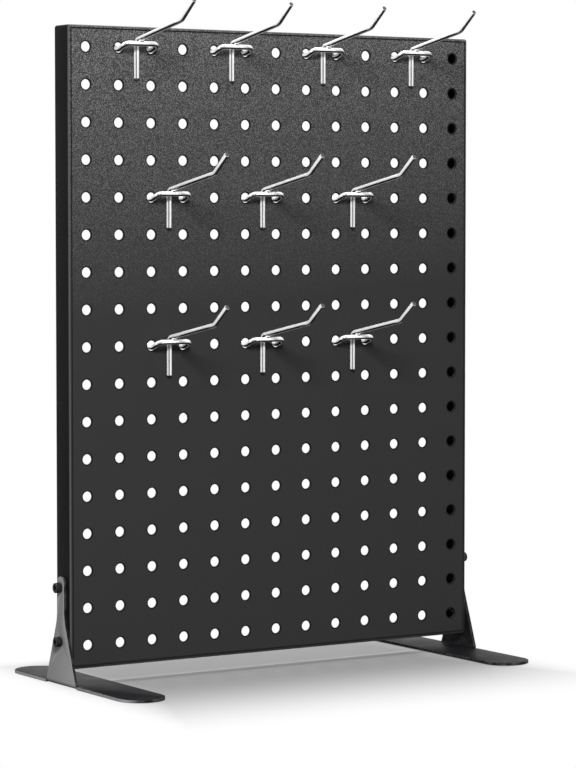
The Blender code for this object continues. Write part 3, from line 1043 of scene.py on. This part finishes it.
def grained_black():
    """Grain with a painted top sheen, painted fold highlights, and painted shade on sides, folds and rims.
    """
    material, tree, shader, place = new_material("grained_black", 0.5, specular=0.05)
    grain = use_group(tree, fine_grain, place, Scale=1500.0)
    # painted sheen: the light grain spots show most at the top and fade out downwards
    top_sheen = remap(tree, along(tree, place, UP_AND_LEFT), SHEEN_HEIGHTS, SHEEN_SHARES)
    facing = axis_of(tree, tree.nodes.new("ShaderNodeNewGeometry").outputs["Normal"], "Y")
    on_face = remap(tree, facing, FACES_FRONT, (1, 0))
    shown = product(tree, product(tree, grain.outputs["High spots"], top_sheen), on_face)
    # painted shade: a thin dark line beside the fold
    fold_shade = near_value(tree, distance_from_side(tree, place), SHADE_LINE_FROM_SIDE, SHADE_LINE_REACH)
    # painted shade: a dark ring round each hole
    rim = remap(tree, distance_from_hole(tree, place), RIM_SHADE_FADES)
    colour = blend_colours(tree, shown, BOARD_BLACK, BOARD_SHEEN_SPOTS)
    for mask, paint in (
        # painted shade line beside the fold
        (fold_shade, FOLD_SHADE_LINE),
        # painted shade on the sides
        (near_value(tree, facing, FACES_SIDE, SIDE_REACH), FLANGE_SHADE_BLACK),
        # painted highlight on the folds
        (near_value(tree, facing, FACES_FOLD, FOLD_REACH), FOLD_HIGHLIGHT_GREY),
        # painted shade rings round the holes
        (rim, HOLE_RIM_SHADE),
    ):
        colour = blend_over(tree, mask, colour, paint)
    tree.links.new(colour, shader.inputs["Base Color"])
    cloudy_gloss(tree, shader, place, 9.0, (0.46, 0.58))
    pebbled(tree, shader, grain, 0.35, 0.0004)
    return material


board_finish = grained_black()
print("board finish:", len(board_finish.node_tree.nodes), "nodes")

# %% [markdown]
# The feet have a smoother satin coat. The outer faces of the tabs get a painted grey sheen, which sets
# them off against the black sides of the board, and the rest is black. The same grey marks the rubbed
# edges. The screws are black oxide, a thin dark layer that wears to metal on edges.

# %% Satin black on the feet, black oxide on the screws
FOOT_BLACK = (0.007, 0.007, 0.008)
# grey for the rubbed edges, and a painted sheen on the outer faces of the tabs
TAB_SHEEN_AND_WEAR_GREY = (0.27, 0.27, 0.274)
OUTER_FACE_SHEEN = (0.08, 0.155)
OXIDE_BLACK = (0.005, 0.005, 0.006)
WORN_STEEL = (0.06, 0.06, 0.06)


def satin_black():
    """A smooth coat with a soft gloss, a fine orange peel, slightly rubbed edges and painted outer sheen.
    """
    material, tree, shader, place = new_material("satin_black", 0.46, specular=0.05)
    edges = use_group(tree, rubbed_edges, place).outputs["Edges"]
    side = axis_of(tree, tree.nodes.new("ShaderNodeNewGeometry").outputs["Normal"], "X")
    # painted sheen: the outward faces of each foot are coloured lighter
    outer = remap(tree, product(tree, side, axis_of(tree, place, "X")), OUTER_FACE_SHEEN)
    colour = blend_colours(tree, larger(tree, edges, outer), FOOT_BLACK, TAB_SHEEN_AND_WEAR_GREY)
    tree.links.new(colour, shader.inputs["Base Color"])
    cloudy_gloss(tree, shader, place, 26.0, (0.42, 0.52))
    pebbled(tree, shader, use_group(tree, fine_grain, place, Scale=420.0), 0.10, 0.0003)
    return material


def black_oxide():
    """Dark oiled steel that shows a trace of metal on its edges."""
    material, tree, shader, place = new_material("black_oxide", 0.38, metallic=0.3, specular=0.25)
    edges = use_group(tree, rubbed_edges, place).outputs["Edges"]
    tree.links.new(blend_colours(tree, edges, OXIDE_BLACK, WORN_STEEL), shader.inputs["Base Color"])
    cloudy_gloss(tree, shader, place, 160.0, (0.32, 0.5))
    return material


foot_finish = satin_black()
screw_finish = black_oxide()
print("finishes:", foot_finish.name, screw_finish.name)

# %% [markdown]
# Bright wire is hard to copy. A real one mirrors the room in streaks along its length: a white ceiling on
# top, a dark table below, and the dim end of the room down its front. A plain mirror in front of a black
# board would only turn black. So the plating here is partly a mirror and partly plain bright metal, and
# its dark streaks are painted reflections, laid on in its colour by the direction in which the surface
# faces. They belong to the wire and tilt with it. The raised end of the arm looks up at more of the
# ceiling, so its painted dark underside starts further round. Its end face is darker.

# %% Chrome on the hooks
CLEAN_PLATING = (0.97, 0.97, 0.975)
DULL_PLATING = (0.90, 0.905, 0.91)
# painted reflection of the dim end of the room, down the wire's front
PAINTED_FRONT_REFLECTION = (0.20, 0.20, 0.20)
# painted reflection of the dark table, on the wire's underside
PAINTED_UNDERSIDE_REFLECTION = (0.008, 0.008, 0.008)
# a darker colour for the wire's end face
CUT_END = (0.06, 0.06, 0.06)
ROOM_END = (-0.54, -0.84, 0)
FACES_ROOM_END = (0.91, 0.96)
FACES_DOWN = (-0.14, -0.34)
FACES_TABLE = (-0.80, -0.93)
TABLE_SHARES = (1, 0.2)
TIP_WAY = (0, -math.cos(TIP_RISE), math.sin(TIP_RISE))
FACES_TIP_WAY = (0.45, 0.75)
TIP_ZONE = (-0.068, -0.072)
RAISED_ZONE = (-0.058, -0.064)
RAISED_SHIFT = (0, 0.25)


def bright_chrome(name, smoothest, dullest, depth):
    """Plated wire with painted reflection streaks along it and slightly cloudy patches."""
    material, tree, shader, place = new_material(name, smoothest, metallic=0.2, specular=0.3)
    facing = place.node.outputs["Normal"]
    upright = axis_of(tree, facing, "Z")
    table = remap(tree, upright, FACES_TABLE, TABLE_SHARES)
    raised = remap(tree, axis_of(tree, place, "Y"), RAISED_ZONE, RAISED_SHIFT)
    # painted reflection of the dark table on the underside of the wire
    below = product(tree, remap(tree, combined(tree, "ADD", upright, raised), FACES_DOWN), table)
    at_tip = remap(tree, axis_of(tree, place, "Y"), TIP_ZONE)
    end = product(tree, remap(tree, along(tree, facing, TIP_WAY), FACES_TIP_WAY), at_tip)
    # painted reflection of the dim end of the room down the wire's front
    front = remap(tree, along(tree, facing, ROOM_END), FACES_ROOM_END)
    patches = cloudy_gloss(tree, shader, place, 120.0, (smoothest, dullest))
    colour = blend_colours(tree, patches, CLEAN_PLATING, DULL_PLATING)
    for mask, metal in ((front, PAINTED_FRONT_REFLECTION), (below, PAINTED_UNDERSIDE_REFLECTION), (end, CUT_END)):
        colour = blend_over(tree, mask, colour, metal)
    tree.links.new(colour, shader.inputs["Base Color"])
    pebbled(tree, shader, use_group(tree, fine_grain, place, Scale=1500.0), depth, 0.0002)
    return material


wire_finish = bright_chrome("bright_chrome", smoothest=0.12, dullest=0.24, depth=0.05)
weld_finish = bright_chrome("weld_chrome", smoothest=0.22, dullest=0.38, depth=0.35)
print("finishes:", wire_finish.name, weld_finish.name)

# %% [markdown]
# ## Dressing
#
# Each finished piece gets its finish and a body, which is what it rides on, so a hook's pieces tilt with
# the hook. The plain CAD piece that it stands for is hidden. A weld stands for no CAD piece.

# %% Give each piece its finish and its body, and hide the CAD piece that it stands for
def dress(piece, material, slot, body, *nodes):
    """One finish, one body to ride on, and the CAD nodes that the piece replaces."""
    piece.data.materials.clear()
    piece.data.materials.append(material)
    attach(piece, body)
    if nodes:
        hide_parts(*nodes)


dress(board, board_finish, "panel_paint", "stand", "pegboard_panel")
for node, foot in feet.items():
    dress(foot, foot_finish, "foot_paint", "stand", node)
for node, fastener in fasteners.items():
    dress(fastener, screw_finish, "screw_steel", "stand", node)
for name, piece in hooks.items():
    hook, kind = name.rsplit("_", 1)
    if kind == "weld":
        dress(piece, weld_finish, "hook_chrome", hook)
    else:
        node = hook + {"bar": "_crossbar", "wire": "_arm"}[kind]
        dress(piece, wire_finish, "hook_chrome", hook, node)

# %% [markdown]
# ## The table, the light and the camera
#
# The photograph has a pure white ground that keeps a soft shadow in front of the board. A lamp bright
# enough to turn the whole table white would burn out the hooks. So the table is grey and lit at a plain
# level where the shadow falls, and turns to a plain strength of 1 around that, for camera rays only. The
# border between the two is soft and runs along the board, like the shadow's own edge. Light that the
# table throws back up is kept low, because it would take the black out of the board.

# %% The table
TABLE_SIZE = 8.0
TABLE_DROP = 0.0003
TABLE_GREY = (0.29, 0.29, 0.29)
TABLE_BOUNCE = (0.20, 0.20, 0.20)
SHADOW_SIDES = (0.115, 0.190)
SHADOW_FRONT = (-0.026, -0.207)
SHADOW_REAR = (0.07, 0.13)
bpy.ops.object.select_all(action="DESELECT")
bpy.ops.mesh.primitive_plane_add(size=TABLE_SIZE, location=(0, 0, -TABLE_DROP))
floor = start_piece("white_table")


def white_table():
    """Matt grey under the shadow and plain white around it, seen so by camera rays alone."""
    material, tree, shader, place = new_material("white_table", 0.6, specular=0.2)
    path = tree.nodes.new("ShaderNodeLightPath")
    colour = blend_colours(tree, path.outputs["Is Diffuse Ray"], TABLE_GREY, TABLE_BOUNCE)
    tree.links.new(colour, shader.inputs["Base Color"])
    sideways = size_of(tree, axis_of(tree, place, "X"))
    away = axis_of(tree, place, "Y")
    outside = remap(tree, sideways, SHADOW_SIDES, kind="SMOOTHSTEP")
    for limits in (SHADOW_FRONT, SHADOW_REAR):
        outside = larger(tree, outside, remap(tree, away, limits, kind="SMOOTHSTEP"))
    seen = product(tree, outside, path.outputs["Is Camera Ray"])
    glow = add(tree, "ShaderNodeEmission", Strength=1.0)
    mixed = tree.nodes.new("ShaderNodeMixShader")
    tree.links.new(seen, mixed.inputs["Fac"])
    tree.links.new(shader.outputs["BSDF"], mixed.inputs[1])
    tree.links.new(glow.outputs["Emission"], mixed.inputs[2])
    tree.links.new(mixed.outputs["Shader"], tree.nodes["Material Output"].inputs["Surface"])
    return material


floor.data.materials.append(white_table())
print("table:", TABLE_SIZE, "m square")

# %% [markdown]
# The world is a plain white room. Seen directly or in a mirror it has strength 1, which is white. As a
# light it is much dimmer, so that the lamps still make shadows.

# %% The world: white to look at and to reflect, dimmer as a light
AMBIENT = 0.17
world = bpy.data.worlds.new("white_room")
bpy.context.scene.world = world
world.use_nodes = True
sky = world.node_tree
sky.nodes.clear()
path = sky.nodes.new("ShaderNodeLightPath")
seen_white = larger(sky, path.outputs["Is Camera Ray"], path.outputs["Is Glossy Ray"])
seen_white = larger(sky, seen_white, path.outputs["Is Transmission Ray"])
dim = add(sky, "ShaderNodeBackground", Color=(1, 1, 1, 1), Strength=AMBIENT)
bright = add(sky, "ShaderNodeBackground", Color=(1, 1, 1, 1), Strength=1.0)
either = sky.nodes.new("ShaderNodeMixShader")
sky.links.new(seen_white, either.inputs["Fac"])
sky.links.new(dim.outputs["Background"], either.inputs[1])
sky.links.new(bright.outputs["Background"], either.inputs[2])
sky.links.new(either.outputs["Shader"], sky.nodes.new("ShaderNodeOutputWorld").inputs["Surface"])
print("ambient light:", AMBIENT)

# %% [markdown]
# Three soft lamps do the rest. One behind and above the board throws its shadow forward, with light dots
# where it shines through the holes. One at the front left brightens the hooks and gives them their small
# shadows. One above lights the board's upper part more than its lower part.

# %% Three soft lamps
def soft_lamp(name, place, target, size, power):
    """A square area lamp that faces a point."""
    data = bpy.data.lights.new(name, "AREA")
    data.shape = "SQUARE"
    data.size = size
    data.energy = power
    lamp = bpy.data.objects.new(name, data)
    bpy.context.scene.collection.objects.link(lamp)
    lamp.location = place
    lamp.rotation_euler = (Vector(target) - Vector(place)).to_track_quat("-Z", "Y").to_euler()
    return lamp


soft_lamp("front_left_lamp", place=(-0.95, -1.55, 1.15), target=(0, 0, 0.25), size=0.40, power=52)
soft_lamp("top_lamp", place=(0.0, -0.20, 1.40), target=(0, 0, 0.40), size=0.7, power=9.5)
soft_lamp("rear_lamp", place=(0.35, 0.75, 1.75), target=(0, 0, 0), size=0.40, power=32)

# %% [markdown]
# The camera was found from the photograph: its place, turn and lens were adjusted until the corners of
# the board and the middles of its holes fell where they do there. Then its view was widened by one
# hundredth, so that the tips of the top hooks stay in the picture. The long lens keeps the board's edges
# nearly parallel.

# %% The camera
LENS = 140.8
SENSOR = 36.0
CAMERA_PLACE = (-1.1420, -1.7860, 0.3231)
CAMERA_PITCH = math.radians(3.283)
CAMERA_YAW = math.radians(32.857)
camera_data = bpy.data.cameras.new("photo_camera")
camera_data.lens = LENS
camera_data.sensor_width = SENSOR
camera = bpy.data.objects.new("photo_camera", camera_data)
bpy.context.scene.collection.objects.link(camera)
camera.location = CAMERA_PLACE
camera.rotation_euler = (QUARTER_TURN - CAMERA_PITCH, 0, -CAMERA_YAW)
bpy.context.scene.camera = camera
bpy.context.scene.view_settings.view_transform = "Standard"
print("camera stands", round(Vector(CAMERA_PLACE).length, 2), "m away")

# %% Bring the view layer up to date
bpy.context.view_layer.update()
